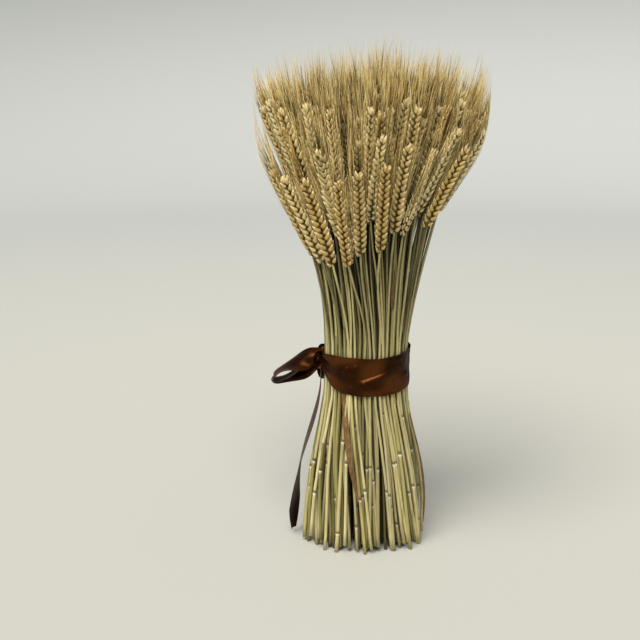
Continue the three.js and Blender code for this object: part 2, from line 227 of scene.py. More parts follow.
def stem_line(stalk, z):
    """The middle line of a stem, for an array of heights. It winds a little round the sheaf."""
    share = mix(stalk["foot_share"], stalk["waist_share"], smooth(z / BAND_LOW))
    down = 1 - np.clip(z / BAND_LOW, 0, 1)
    turn = stalk["azimuth"] + mix(stalk["waist_turn"], stalk["foot_turn"], down)
    curved, straight = sheaf_radius(np.minimum(z, BAND_TOP)), mix(WAIST, FOOT, down)
    around = mix(curved, straight, stalk["straight"]) * flatness(z, turn)
    ring = (around - stem_width(z) / 2) * share
    u = np.clip((z - BAND_TOP) / (stalk["foot"] - BAND_TOP), 0, None)
    r = ring + (stalk["out"] - ring) * u ** stalk["fan"]
    turn = mix(turn, stalk["ear_azimuth"], smooth(u))
    turn = turn + stalk["bow"] * np.sin(math.pi * np.clip(u, 0, 1)) / np.maximum(r, 12)
    return np.stack([r * np.cos(turn), r * np.sin(turn), z], 1)


def ear_line(stalk, s):
    """The middle line of an ear for an array of lengths along it. Past the tip it straightens."""
    foot = stem_line(stalk, np.array([stalk["foot"]]))[0]
    out_by = stalk["out"] - NECK_OUT * stalk["share"]
    lean = math.atan(STEEPER * out_by / (stalk["foot"] - BAND_TOP))
    on_ear, past = np.minimum(s, stalk["length"]), np.maximum(s - stalk["length"], 0)
    slope = math.sin(lean) + stalk["arch"] * on_ear / stalk["length"]
    end_slope = math.sin(lean) + 2 * stalk["arch"] - 0.1
    out = on_ear * slope + past * end_slope * mix(1, AWN_RISE, np.clip(past / AWN_BEND, 0, 1))
    way = np.array([math.cos(stalk["ear_azimuth"]), math.sin(stalk["ear_azimuth"])])
    aside = stalk["sway"] * s * np.array([-way[1], way[0]])[:, None]
    up = stalk["foot"] + math.cos(lean) * s
    return np.concatenate([foot[:2] + out[:, None] * way + aside.T, up[:, None]], 1)


def eased(over, give):
    """How far past a limit something still goes that would go past it by over."""
    return give * (1 - np.exp(-over / give))


def within_head(where):
    """Draw back what goes past the side or the domed top of the head, the more the further."""
    r = np.hypot(where[:, 0], where[:, 1])
    over = np.maximum(r - HEAD, 0)
    where[:, :2] *= ((r - over + eased(over, SIDE_GIVE)) / np.maximum(r, 1e-6))[:, None]
    high = np.maximum(where[:, 2] - TOP + DOME * (np.minimum(r, HEAD) / HEAD) ** 2, 0)
    where[:, 2] += eased(high, TOP_GIVE) - high
    return where


def bent(piece, line, heights, x, y):
    """Move a copy's vertices along a line: x goes across it, y towards the middle of the sheaf."""
    centre = line(heights)
    along = line(heights + 0.5) - line(heights - 0.5)
    along /= np.linalg.norm(along, axis=1)[:, None]
    out = centre[:, :2] / np.maximum(np.linalg.norm(centre[:, :2], axis=1), 1e-6)[:, None]
    across = np.stack([-out[:, 1], out[:, 0], np.zeros(len(out))], 1)
    inward = np.cross(along, across)
    set_points(piece, centre + across * x[:, None] + inward * y[:, None])


print("radius at the foot, the waist and 400 mm up:",
      [round(float(sheaf_radius(z)), 1) for z in (0, WAIST_Z, 400)])

# %% [markdown]
# ## A straw
# Wheat straw is a hollow tube, swollen at its joints. It could be a curve with a bevel, but then
# the joints and the open cut end would be missing. So a six-sided ring is extruded upwards, ring by
# ring, each ring scaled to the straw's width there, and its cut end is inset and pushed in.

# %% Model a straw with its joints
LEVELS = [14, 40, 75, 110, 140, 169, 188, 207, 225, 245, 265, 285, 305, 330]
JOINTS = [(46,), (84,), (), (61,), (97,), (24, 134)]  # their heights on six kinds of straw
# the painted glint lies on the two rings below a joint
GLINT_LOW, GLINT_RING, JOINT, SCAR = -4, -1.6, -0.2, 1.1  # the rings at a joint, from its height
JOINT_RINGS = (-6.5, GLINT_LOW, GLINT_RING, JOINT, SCAR, 3)
CLEAR = 8  # no other ring is as near as this to a joint
SWOLLEN = 1.18  # how much wider a joint is than the straw
STRAW_WALL, HOLLOW = 0.6, 5  # how thick the wall is, and how deep the cut end is modelled


def straw(name, joints):
    """A straight straw, standing on its cut end, with joints at some heights."""
    levels = sorted({z for z in LEVELS if all(abs(z - j) > CLEAR for j in joints)}
                    | {j + d for j in joints for d in JOINT_RINGS})
    piece = added(bpy.ops.mesh.primitive_circle_add, name,
                  vertices=6, radius=STEM_FOOT / 2 * MM, fill_type="NGON")
    edit_all(piece)
    at, width = 0, 1
    for z in levels:
        swell = SWOLLEN if any(GLINT_RING - 0.1 < z - j < JOINT + 0.1 for j in joints) else 1.0
        new = float(stem_width(z)) / STEM_FOOT * swell
        extrude_up(z - at)
        bpy.ops.transform.resize(value=(new / width, new / width, 1))
        at, width = z, new
    bpy.ops.object.mode_set(mode="OBJECT")
    edit_some(piece, "FACE", lambda c: c.z < 0.1 * MM)
    bpy.ops.mesh.inset(thickness=STRAW_WALL * MM)
    extrude_up(HOLLOW)
    leave_edit()
    where = points(piece)
    z, r = where[:, 2], np.hypot(where[:, 0], where[:, 1])

    def ring(offset):
        """1 on the rings that lie at this offset from a joint, 0 elsewhere."""
        return 0 * z + sum(abs(z - j - offset) < 0.1 for j in joints)

    # painted shade: the inside of the cut end is marked dark, like the rings of the joints
    in_hollow = (z < HOLLOW + 1) & (r < 1.7)
    brown = np.where(in_hollow, 0.9, 1.0 * ring(JOINT) + 0.8 * ring(SCAR))
    # a painted glint on the rings just below each joint
    return tint(piece, mark=brown, husk=0.15 * ring(GLINT_LOW) + 0.9 * ring(GLINT_RING))


STRAWS = [straw(f"straw_{i}", joints) for i, joints in enumerate(JOINTS)]
print("a straw has", len(STRAWS[0].data.polygons), "faces")

# %% [markdown]
# ## An ear
# An ear is two rows of spikelets, set by turns to the left and the right of its stem, and each
# spikelet is a fan of boat-shaped husks. From its face the rows look plaited. A husk starts as a
# small sphere that is drawn out to a point; a spikelet is three husks; an ear is twenty-eight
# spikelets. A plait painted on one smooth form would be cheaper, but its edge would be smooth too.

# %% Model one husk
HUSK_HALF = (2.35, 1.5, 4.2)  # half its width, its depth and its height
HUSK_TALL = 10.4  # with its tip drawn out
NARROW_FROM, NARROWED = 6, 0.8  # above this height it is narrowed to this share
TIP_FROM, TIP_DRAWN = 8.3, 2.0  # and from here up it is drawn out by this much
AWN_ROOT = 10  # how far up a husk its awn starts


def husk_shape():
    """A husk: plump below, and drawn to a point above."""
    piece = added(bpy.ops.mesh.primitive_uv_sphere_add, "husk",
                  segments=6, ring_count=4, radius=1 * MM)
    edit_all(piece)
    bpy.ops.transform.resize(value=HUSK_HALF)
    bpy.ops.transform.translate(value=(0, 0, HUSK_HALF[2] * MM))
    bpy.ops.object.mode_set(mode="OBJECT")
    edit_some(piece, "VERT", lambda c: c.z > NARROW_FROM * MM)
    bpy.ops.transform.resize(value=(NARROWED, NARROWED, 1.0), center_override=(0, 0, 0))
    bpy.ops.object.mode_set(mode="OBJECT")
    edit_some(piece, "VERT", lambda c: c.z > TIP_FROM * MM)
    bpy.ops.transform.translate(value=(0, 0, TIP_DRAWN * MM))
    leave_edit()
    return tint(piece, mark=points(piece)[:, 2] / HUSK_TALL)


HUSK = husk_shape()
print("a husk has", len(HUSK.data.polygons), "faces")

# %% Model one awn
AWN_RADIUS, AWN_WAIST = 0.25, 0.45  # its radius at the root, and where along it it tapers to
AWN_TAPER = 0.62  # this share of the radius


def awn_shape():
    """An awn one millimetre long: a three-sided needle, a little thicker in its lower half."""
    piece = added(bpy.ops.mesh.primitive_circle_add, "awn",
                  vertices=3, radius=AWN_RADIUS * MM, fill_type="NGON")
    edit_all(piece)
    extrude_up(AWN_WAIST)
    bpy.ops.transform.resize(value=(AWN_TAPER, AWN_TAPER, 1))
    extrude_up(1 - AWN_WAIST)
    bpy.ops.mesh.merge(type="CENTER")
    leave_edit()
    return tint(piece, mark=points(piece)[:, 2])


AWN = awn_shape()
print("an awn has", len(AWN.data.polygons), "faces")

# %% Build the ears, the same forms with small differences
SPIKELETS = 28
PITCH = 2.95  # from one spikelet to the next one up, on the other side
LEAN_LOW, LEAN_HIGH = 0.44, 0.3  # radians by which a spikelet leans out, low and high on the ear
SPIKELET = [  # its three husks: their place in depth, lean in depth, height, and share of the lean
    (-1.6, 0.15, 0, 1.0), (1.6, -0.15, 0, 1.0), (0, 0, 1.6, 0.9)]


def turned(x, y, z, across=0.0, depth=0.0, roll=0.0, size=1.0, tall=1.0):
    """A matrix that scales a form, rolls it, leans it in depth and across, and puts its root at
    x, y, z."""
    lean = (Matrix.Rotation(across, 4, "Y") @ Matrix.Rotation(depth, 4, "X")
            @ Matrix.Rotation(roll, 4, "Z"))
    scaled = Matrix.Diagonal((size, size, size * tall, 1))
    return Matrix.Translation(Vector((x, y, z)) * MM) @ lean @ scaled


def ear(variant):
    """An ear that stands on the origin, its face towards -Y, and its awns as a second piece."""
    seed = 1000 * (variant + 1)
    husks, awns = [], []
    for i in range(SPIKELETS):
        side = 1 if i % 2 else -1
        t = i / (SPIKELETS - 1)
        # smaller near the foot of the ear and towards its tip
        size = min(1.0, 0.62 + 1.9 * t) * mix(1.0, 0.8, smooth((t - 0.6) / 0.4))
        lean = mix(LEAN_LOW, LEAN_HIGH, t)
        for j, (y, forwards, up, open_) in enumerate(SPIKELET):
            s = seed + 10 * i + j
            across = side * (lean * open_ + 0.05 * draw(s + 0.1))
            depth = forwards + 0.05 * draw(s + 0.2)
            middle = j == 2  # it lies over the other two, turned by a quarter
            x = side * (0.9 + 0.5 * middle)
            roll = (math.pi / 2 if middle else 0) + 0.25 * draw(s + 0.3)
            big = size * (1 + 0.07 * draw(s + 0.4))
            place = turned(x, y * size, i * PITCH + up, across, depth, roll, big)
            husks.append(tint(copy_of(HUSK, place), husk=chance(s + 0.5)))
            if (i + j) % 3 == 0:  # a third of the husks bear no awn
                continue
            tip = place @ Vector((0, 0, AWN_ROOT * MM)) / MM
            reach = 0.6 + 0.2 * draw(s + 0.6) + 0.3 * max(0, draw(s + 0.65)) ** 4
            tall = REACH_REST * reach + 0.3 * (EAR_REST - tip.z)
            fan = across * 0.18 + 0.055 * draw(s + 0.7)
            stand = -forwards * 0.2 + 0.06 * draw(s + 0.8)
            needle = turned(*tip, fan, stand, draw(s + 0.9), 1, tall)
            awns.append(tint(copy_of(AWN, needle), husk=chance(s + 0.45)))
    top = SPIKELETS * PITCH - 1.5
    for j in range(3):  # the last spikelet stands upright on the tip
        s = seed + 900 + j
        place = turned(
            0, (j - 1) * 1.4, top, 0.06 * draw(s), (1 - j) * 0.2, 0.3 * draw(s + 0.5), 0.78)
        husks.append(tint(copy_of(HUSK, place), husk=chance(s + 0.1)))
        tip = place @ Vector((0, 0, AWN_ROOT * MM)) / MM
        tall = (0.7 + 0.2 * j) * REACH_REST
        needle = turned(*tip, 0.1 * draw(s + 0.2), 0.1 * draw(s + 0.3), 0, 1, tall)
        awns.append(tint(copy_of(AWN, needle), husk=chance(s + 0.4)))
    return joined(husks, f"ear_{variant}"), joined(awns, f"awns_{variant}")


EARS = [ear(variant) for variant in range(4)]
print("an ear has", [len(part.data.polygons) for part in EARS[0]], "faces in husks and in awns")

# %% [markdown]
# ## Finishes
# Everything here is dry plant: chaff, straw and bristles. Dry straw is a waxy, slightly glossy
# tube, yellow where it ripened and olive where it was cut green. Chaff is paler and more matt.
# The colours vary along each piece, from piece to piece, and from stalk to stalk, which the numbers
# stored on the vertices carry. Part of that is painted light: painted shade at the feet of the
# husks, at the roots of the awns, inside the straws' cut ends and on the inner stalks, and a
# painted glint below each joint. Image textures could hold more detail but don't follow 300 stalks.


# %% Colours and nodes
def linear(code):
    """An sRGB colour like #c9b27a as linear red, green, blue and alpha."""
    channels = [int(code[i:i + 2], 16) / 255 for i in (1, 3, 5)]
    return [c / 12.92 if c <= 0.04045 else ((c + 0.055) / 1.055) ** 2.4 for c in channels] + [1.0]


def add_node(tree, kind, settings=None, **links):
    """Add a node. Settings are its own properties; links are inputs, by name or as i and a number,
    with a socket or a value."""
    node = tree.nodes.new(kind)
    for key, value in (settings or {}).items():
        setattr(node, key, value)
    for key, value in links.items():
        numbered = key[0] == "i" and key[1:].isdigit()
        socket = node.inputs[int(key[1:]) if numbered else key.replace("_", " ")]
        if isinstance(value, bpy.types.NodeSocket):
            tree.links.new(value, socket)
        else:
            socket.default_value = value
    return node


def material(name, **finish):
    """A new material with a Principled shader. Finish holds the shader's own constant values."""
    made = bpy.data.materials.new(name)
    made.use_nodes = True
    tree = made.node_tree
    shader = tree.nodes["Principled BSDF"]
    for key, value in finish.items():
        shader.inputs[key.replace("_", " ")].default_value = value
    return made, tree, shader


def blend(tree, factor, a, b):
    """The colour between a and b; both may be a hex colour or a socket."""
    a, b = (linear(c) if isinstance(c, str) else c for c in (a, b))
    return add_node(tree, "ShaderNodeMix", {"data_type": "RGBA"}, i0=factor, i6=a, i7=b).outputs[2]


def ramp(tree, value, low, high):
    """A value taken from low..high to 0..1."""
    eased_in = {"interpolation_type": "SMOOTHSTEP"}
    return add_node(tree, "ShaderNodeMapRange", eased_in, i0=value, i1=low, i2=high).outputs[0]


def times(tree, value, factor):
    multiply = {"operation": "MULTIPLY"}
    return add_node(tree, "ShaderNodeMath", multiply, i0=value, i1=factor).outputs[0]


def tints(tree):
    """The numbers stored on the vertices: mark, stalk, husk, and how far inside."""
    stored = add_node(tree, "ShaderNodeAttribute", {"attribute_name": "tint"})
    parts = add_node(tree, "ShaderNodeSeparateColor", Color=stored.outputs["Color"])
    return [*parts.outputs[:3], stored.outputs["Alpha"]]


def place_of(tree):
    """The place on the object, in metres."""
    return add_node(tree, "ShaderNodeTexCoord").outputs["Object"]


def painted_shade_inside(tree, inner, colour, share):
    """A colour with painted shade: darker on the inner stalks, where the shade among the stalks
    falls.
    """
    return blend(tree, times(tree, inner, share), colour, "#231804")


def streaks(tree, place, width_mm, length_mm, detail=2.0):
    """Noise drawn out up the stalks: width and length in millimetres of one streak."""
    size = (1000 / width_mm, 1000 / width_mm, 1000 / length_mm)
    scaled = add_node(tree, "ShaderNodeMapping", Vector=place, Scale=size).outputs[0]
    noise = add_node(tree, "ShaderNodeTexNoise", Vector=scaled, Scale=1.0, Detail=detail)
    return noise.outputs["Fac"]


def choice(tree, value, colours):
    """One colour out of several, by a value from 0 to 1, with soft borders between them."""
    node = add_node(tree, "ShaderNodeValToRGB", i0=value)
    stops = node.color_ramp.elements
    for i, code in enumerate(colours):
        stop = stops[i] if i < 2 else stops.new(0.5)
        stop.position, stop.color = i / (len(colours) - 1), linear(code)
    return node.outputs[0]


def finish_with(tree, shader, colour, relief=None, strength=0.0, depth=0.0):
    """Give the shader its colour and, from a relief, its fine bumps, so many metres deep."""
    tree.links.new(colour, shader.inputs["Base Color"])
    if relief is not None:
        bump = add_node(tree, "ShaderNodeBump", Height=relief, Strength=strength, Distance=depth)
        tree.links.new(bump.outputs[0], shader.inputs["Normal"])


# %% Chaff, awn and straw
def chaff_finish():
    """Chaff is golden on its back, with painted shade where a husk is tucked in under the next, and
    a paler tip that is partly its own colour and partly a painted highlight.
    """
    made, tree, shader = material("dry wheat chaff", Roughness=0.5, IOR=1.4)
    along, stalk, husk, inner = tints(tree)
    ripe = choice(tree, stalk, ["#d2b268", "#e8cf8a", "#f4e2a6", "#e3c980", "#c4a056"])
    # painted shade: dark at the foot of each husk, where the next husk covers it
    body = blend(tree, ramp(tree, along, 0.1, 0.42), "#1e1203", ripe)
    # the paler tip, partly its own colour and partly a painted highlight
    tip = blend(tree, ramp(tree, along, 0.6, 0.95), body, "#f6e9bd")
    varied = blend(tree, times(tree, husk, 0.36), tip, "#ab8a3a")
    fine = streaks(tree, place_of(tree), 0.7, 6)
    final = blend(tree, ramp(tree, fine, 0.35, 0.75), varied, blend(tree, 0.4, varied, "#6f5226"))
    finish_with(tree, shader, painted_shade_inside(tree, inner, final, 0.95), fine, 0.35, 0.0004)
    return made


def awn_finish():
    """Awns are golden or straw-coloured, one by one, and darkened by painted shade towards the
    root, where they stand among the ears.
    """
    made, tree, shader = material("dry wheat awn", Roughness=0.5, IOR=1.35)
    along, stalk, husk, inner = tints(tree)
    body = choice(tree, husk, ["#6d5014", "#bc9a48", "#e0be6c", "#f2dfa2"])
    # painted shade: dark at the root, where the awns stand among the ears
    shaded = blend(tree, ramp(tree, along, 0.0, 0.6), "#3c2907", body)
    final = blend(tree, times(tree, stalk, 0.3), shaded, "#a08030")
    finish_with(tree, shader, painted_shade_inside(tree, inner, final, 0.2))
    return made


LOW_STRAW = ["#6f6a31", "#9a9150", "#c2b676", "#dacd98", "#b0a160", "#8f7548", "#c4b77c"]
HIGH_STRAW = ["#4e4c28", "#747040", "#9b925a", "#bbb07a", "#7e7743", "#86723c", "#ada26a"]


def straw_finish():
    """Straw is paler below the ribbon than above it, streaked, and brown at its joints, with a
    painted glint just below each joint and painted shade inside its cut end.
    """
    made, tree, shader = material("dry wheat straw", Roughness=0.34, IOR=1.48)
    brown, stalk, pale, inner = tints(tree)
    place = place_of(tree)
    height = add_node(tree, "ShaderNodeSeparateXYZ", Vector=place).outputs["Z"]
    low, high = choice(tree, stalk, LOW_STRAW), choice(tree, stalk, HIGH_STRAW)
    body = blend(tree, ramp(tree, height, 0.17, 0.25), low, high)
    wide = streaks(tree, place, 5, 90)
    stained = blend(tree, ramp(tree, wide, 0.5, 0.75), body, blend(tree, 0.55, body, "#7c6433"))
    fine = streaks(tree, place, 0.8, 30)
    lined = blend(tree, ramp(tree, fine, 0.4, 0.8), stained, blend(tree, 0.4, stained, "#5f5c31"))
    # a painted glint just below each joint
    with_glint = blend(tree, times(tree, pale, 0.95), lined, "#f6f0d2")
    # the dark rings of the joints, their own colour, and painted shade inside the cut end
    final = blend(tree, times(tree, brown, 0.85), with_glint, "#3b2510")
    finish_with(tree, shader, painted_shade_inside(tree, inner, final, 0.9), fine, 0.35, 0.0003)
    return made


CHAFF, BRISTLE, STRAW = chaff_finish(), awn_finish(), straw_finish()
for piece in STRAWS:
    piece.data.materials.append(STRAW)
for husks, awns in EARS:
    husks.data.materials.append(CHAFF)
    awns.data.materials.append(BRISTLE)
print("finishes:", [m.name for m in (CHAFF, BRISTLE, STRAW)])

# %% [markdown]
# ## The stalks in their places
# The stalks stand in rings, close together, outermost first. The outer ring follows the solids:
# five stems to each of the twelve bunches, whose ears stand low, in the middle and high. The rings
# inside it fill the gaps with more ears, higher and nearer the axis the further in they stand.

# %% Plan every stalk
BUNCHES, APART = 12, 30  # the bunches, and the degrees from one to the next
LAYERS = {  # an ear's foot, how much it varies, how much lower it is at LOW_SIDE, out, arch, reach
    "low": (330, 16, 24, 61, 0.07, 66), "middle": (342, 15, 9, 62, 0.05, 60),
    "high": (364, 10, 0, 65, 0.03, 46)}
PLAN = [  # the layer of a bunch's five stalks, and their angle in it at the waist and at the ear
    ("low", -12, -9), ("high", -6, -6.2), ("middle", 0, 0.4), ("high", 6, 6), ("low", 12, 9)]
RINGS = [  # the share of the radius, how many, the ears' feet from and to, and how far set in
    (0.9, 50, 324, 364, 6), (0.8, 46, 334, 367, 12), (0.7, 42, 340, 369, 18),
    (0.6, 36, 345, 370, 25), (0.5, 30, 348, 372, 33), (0.4, 24, 350, 373, 41),
    (0.3, 18, 352, 374, 47), (0.2, 12, 354, 374, 54), (0.1, 6, 356, 374, 60)]
HEART = 0.385  # the stalks inside this share of the radius belong to the heart
LOW_SIDE = 230  # degrees: the left of the front
RING_LOWER = 8  # how much lower the inner rings' ears start there
SPREAD = 0.16  # how much further out an ear is for each millimetre of height
FEET = [305, 336, 364, 378]  # heights of an ear's foot
OUT_AT, REACH_AT = [56.5, 61, 65, 65], [66, 62, 52, 46]  # how far out it is there, and its reach


def towards(azimuth, side):
    """1 at a side of the sheaf, falling to 0 a quarter of the way round from it."""
    return max(0.0, math.cos(math.radians(azimuth - side))) ** 2


def raised(azimuth):
    """How much higher the ears' feet are at the right of the front, and lower at the left."""
    return 14 * towards(azimuth, 325) - 6 * towards(azimuth, 188)


def wider(azimuth):
    """How much further out the low ears stand at the right, and further in at the left."""
    return 7 * towards(azimuth, 5) - 1.5 * towards(azimuth, 188)


def stalk_plan(azimuth, ear_azimuth, share, foot, out, reach, seed, cut, arch):
    """What is known of one stalk: where round the sheaf its stem and its ear are, its share of the
    radius, its ear's foot and how far out that is, its awns' reach, its cut end, and how much its
    ear arches. The stems wind the most at the front."""
    waist_turn = 7 + 5 * towards(azimuth, 275) + 5 * draw(seed + 0.35)
    foot_turn = (18 + 24 * towards(azimuth, 290) - 12 * towards(azimuth, 205)
                 + 13 * draw(seed + 0.33))
    return dict(
        azimuth=math.radians(azimuth), ear_azimuth=math.radians(ear_azimuth),
        waist_turn=math.radians(waist_turn), foot_turn=math.radians(foot_turn),
        share=share, waist_share=share**0.55,
        foot_share=share**0.6 * (1 - 0.12 * abs(draw(seed + 0.31))),
        foot=foot, out=out, reach=reach, seed=seed, cut=cut, arch=arch,
        straight=0.6 + 0.4 * draw(seed + 0.41), bow=3 * draw(seed + 0.43),
        sway=0.09 * draw(seed + 0.47), fan=1.9 - 0.6 * towards(azimuth, 350),
        length=EAR_REST + 2.5 * draw(seed + 0.2), roll=0.8 * draw(seed + 0.9),
        thick=0.86 + 0.15 * draw(seed + 0.37))


stalks = []
for index in range(BUNCHES):
    mirror = -1 if index % 2 else 1
    for i, (layer, at_waist, at_ear) in enumerate(PLAN):
        seed = 7 * index + i + 1
        foot, vary, lower, out, arch, reach = LAYERS[layer]
        azimuth = APART * index + mirror * at_waist
        higher = vary * draw(seed) - lower * math.cos(math.radians(azimuth - LOW_SIDE))
        higher += raised(azimuth) if layer == "low" else 0
        out += (SPREAD * higher + 1.5 * draw(seed + 0.5)
                + (wider(azimuth) if layer != "high" else 0))
        reach *= 0.9 + 0.28 * draw(seed + 0.7)
        cut = 0 if i == 2 else max(0, 5 + 6 * draw(seed + 0.4))  # the middle one is on the ground
        ear_azimuth = APART * index + mirror * at_ear
        stalks.append(stalk_plan(
            azimuth, ear_azimuth, 1, foot + higher, out, reach, seed, cut, arch))

for ring, (share, count, low, high, inset) in enumerate(RINGS):
    for i in range(count):
        seed = 500 + 100 * ring + i
        azimuth = 360 * (i + 0.5 * (ring % 2)) / count + 2 * draw(seed)
        lower = RING_LOWER * math.cos(math.radians(azimuth - LOW_SIDE))
        foot = mix(low + raised(azimuth) - lower, high, chance(seed + 0.1))
        out = float(np.interp(foot, FEET, OUT_AT)) - inset + 1.5 * draw(seed + 0.6)
        out += wider(azimuth) if share > 0.75 else 0
        reach = float(np.interp(foot, FEET, REACH_AT)) * (
            0.84 + 0.36 * draw(seed + 0.7) + 1.1 * max(0, draw(seed + 0.72)) ** 6)
        stalks.append(stalk_plan(
            azimuth, azimuth + 3 * draw(seed + 0.8), share, foot, max(out, 3), reach, seed,
            9 * abs(draw(seed + 0.4)), 0.05 * share))
print(len(stalks), "stalks")

# %% Bend a straw, an ear and its awns for every stalk, and join them into bunches
STRAW_FINER = 0.94  # above the ribbon a straw is this share of its own thickness
EAR_WIDER = 0.32  # an ear's width is its straw's share of thickness and this much more
INTO_EAR = 2  # how far a stem goes up into its ear
# painted shade: how fast it deepens on the inner stems and ears
DARK_STEMS, DARK_EARS = 3.6, 4  # how fast stems and ears darken inwards


def grown(stalk):
    """The three copies of one stalk, bent to its place."""
    seed, length = stalk["seed"], stalk["length"]
    shade = chance(seed + 0.77)
    stem = copy_of(STRAWS[int(3 + 2.999 * draw(seed + 0.12))])  # any of the six
    where = points(stem)
    heights = stalk["cut"] + (stalk["foot"] + INTO_EAR - stalk["cut"]) * where[:, 2] / STRAW_REST
    thick = stalk["thick"] * mix(1, STRAW_FINER, smooth((heights - BAND_TOP) / 60))
    bent(stem, lambda z: stem_line(stalk, z), heights, thick * where[:, 0], thick * where[:, 1])
    pieces = [tint(stem, stalk=shade, inner=min(1, (1 - stalk["foot_share"]) * DARK_STEMS))]
    cos, sin = math.cos(stalk["roll"]), math.sin(stalk["roll"])
    for form in EARS[int(2 + 1.999 * draw(seed + 0.15))]:  # the husks and awns of any of the four
        part = copy_of(form)
        where = points(part)
        s = where[:, 2] * length / EAR_REST
        s = np.where(s > length, length + (s - length) * stalk["reach"] / REACH_REST, s)
        widened = EAR_WIDER + stalk["thick"] if form.name.startswith("ear") else 1
        x, y = widened * where[:, 0], where[:, 1]
        bent(part, lambda v: ear_line(stalk, v), s, x * cos + y * sin, y * cos - x * sin)
        set_points(part, within_head(points(part)))
        pieces.append(tint(part, stalk=shade, inner=min(1, (1 - stalk["share"]) * DARK_EARS)))
    return pieces


bunches = {}
for stalk in stalks:
    index = round(math.degrees(stalk["azimuth"]) / APART) % BUNCHES
    node = "stalks_heart" if stalk["share"] < HEART else f"stalks_{index + 1:02d}"
    bunches.setdefault(node, []).extend(grown(stalk))
for node, pieces in sorted(bunches.items()):
    bunch = joined(pieces, f"wheat_{node[7:]}")
    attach(bunch, "root")
    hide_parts(node)
    print(bunch.name, "has", len(bunch.data.polygons), "faces")
for form in [HUSK, AWN] + STRAWS + [part for both in EARS for part in both]:
    bpy.data.objects.remove(form)

# %% [markdown]
# ## Dry leaves
# A few thin leaf blades and torn sheaths are left on the stems. A leaf is one narrow strip with a
# crease down its middle, drawn to a point: it starts as a grid whose edge is narrowed row by row,
# and is then laid up or down the outside of the sheaf. A particle system could strew more of them,
# but these few have their own places.

# %% Model a leaf and lay it on the sheaf
LEAF_THICK = 0.25
EARS_Z, EARS_OUT = 338, 61  # where the ears start: their height, and how far out
LEAVES = [  # from, to, width, how far it stands off, and how far it curls round
    ((214, 288), (205, 334), 6, 3, 0), ((220, 298), (209, 338), 4, 2, 3),
    ((202, 286), (197, 330), 4, 3, 0), ((206, 300), (203, 330), 3, 3, 0),
    ((300, 252), (296, 300), 4, 2, 0), ((60, 255), (66, 303), 5.5, 9, 0),
    ((118, 250), (110, 300), 4, 7, 3), ((235, 172), (262, 52), 6, 0.5, 0),
    ((344, 140), (346, 14), 3.5, -3, 2), ((322, 226), (325, 268), 3, 1, 0),
    ((30, 150), (22, 70), 4, 1.5, 0), ((140, 160), (150, 60), 4, 1, 0)]


def leaf(name, start, end, width, lift, curl):
    """A leaf from start to end, both an angle in degrees and a height, that stands off by lift."""
    piece = added(bpy.ops.mesh.primitive_grid_add, name,
                  x_subdivisions=4, y_subdivisions=14, size=2 * MM)
    flat = points(piece)
    v, t = flat[:, 0], (flat[:, 1] + 1) / 2
    half = 0.5 * width * np.sin(math.pi * (0.14 + 0.86 * t)) ** 0.7  # drawn to a point
    z = mix(start[1], end[1], t)
    turn = np.radians(mix(start[0], end[0], t) + curl * np.sin(math.pi * t))
    u = np.clip((z - BAND_TOP) / (EARS_Z - BAND_TOP), 0, None)
    sunk = np.where(z < BAND_LOW, 0.985, 1)  # a little in among the stems of the foot
    around = sheaf_radius(np.minimum(z, BAND_TOP)) * flatness(z, turn) * sunk
    r = around + (EARS_OUT - around) * u**1.9 + 0.8 + lift * t**2
    crease = 0.8 * (np.abs(v) - 0.5) * half / max(width, 1) * 2
    face = turn + 0.9 * t * np.sign(lift + 0.01)
    x = r * np.cos(turn) - half * v * np.sin(face) + crease * np.cos(turn)
    y = r * np.sin(turn) + half * v * np.cos(face) + crease * np.sin(turn)
    set_points(piece, np.stack([x, y, z], 1))
    thicken(piece, LEAF_THICK)
    bpy.ops.object.shade_smooth()
    return tint(piece, mark=chance(start[0] + start[1]))


leaves = [leaf(f"leaf_{i}", *place) for i, place in enumerate(LEAVES)]
print(len(leaves), "leaves")


# %% Dry leaf
def leaf_finish():
    """A dried leaf is papery and matt, brown with paler ribs along it."""
    made, tree, shader = material("dry wheat leaf", Roughness=0.62, IOR=1.42)
    body = choice(tree, tints(tree)[0], ["#3a2410", "#6d4a24", "#8a6434", "#4e3519"])
    ribs = streaks(tree, place_of(tree), 0.8, 40)
    final = blend(tree, ramp(tree, ribs, 0.4, 0.7), body, blend(tree, 0.4, body, "#b08a52"))
    finish_with(tree, shader, final, ribs, 0.4, 0.0003)
    return made


LEAF = leaf_finish()
for piece in leaves:
    piece.data.materials.append(LEAF)
leaves = joined(leaves, "dry_leaves")
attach(leaves, "root")
print("the leaves have", len(leaves.data.polygons), "faces")

# %% [markdown]
# ## The ribbon
# One wide satin ribbon goes round the waist and is tied in a bow at the left. It could be a cloth
# simulation, but its folds are few and known, so each length of it starts as a flat strip, is laid
# along the path that its solid follows, is creased by listed folds, and gets its thickness.

# %% Lay a flat strip along a path
SATIN_THICK = 0.45
UP = np.array([0.0, 0.0, 1.0])


def unit(v):
    return v / np.maximum(np.linalg.norm(v, axis=-1, keepdims=True), 1e-9)


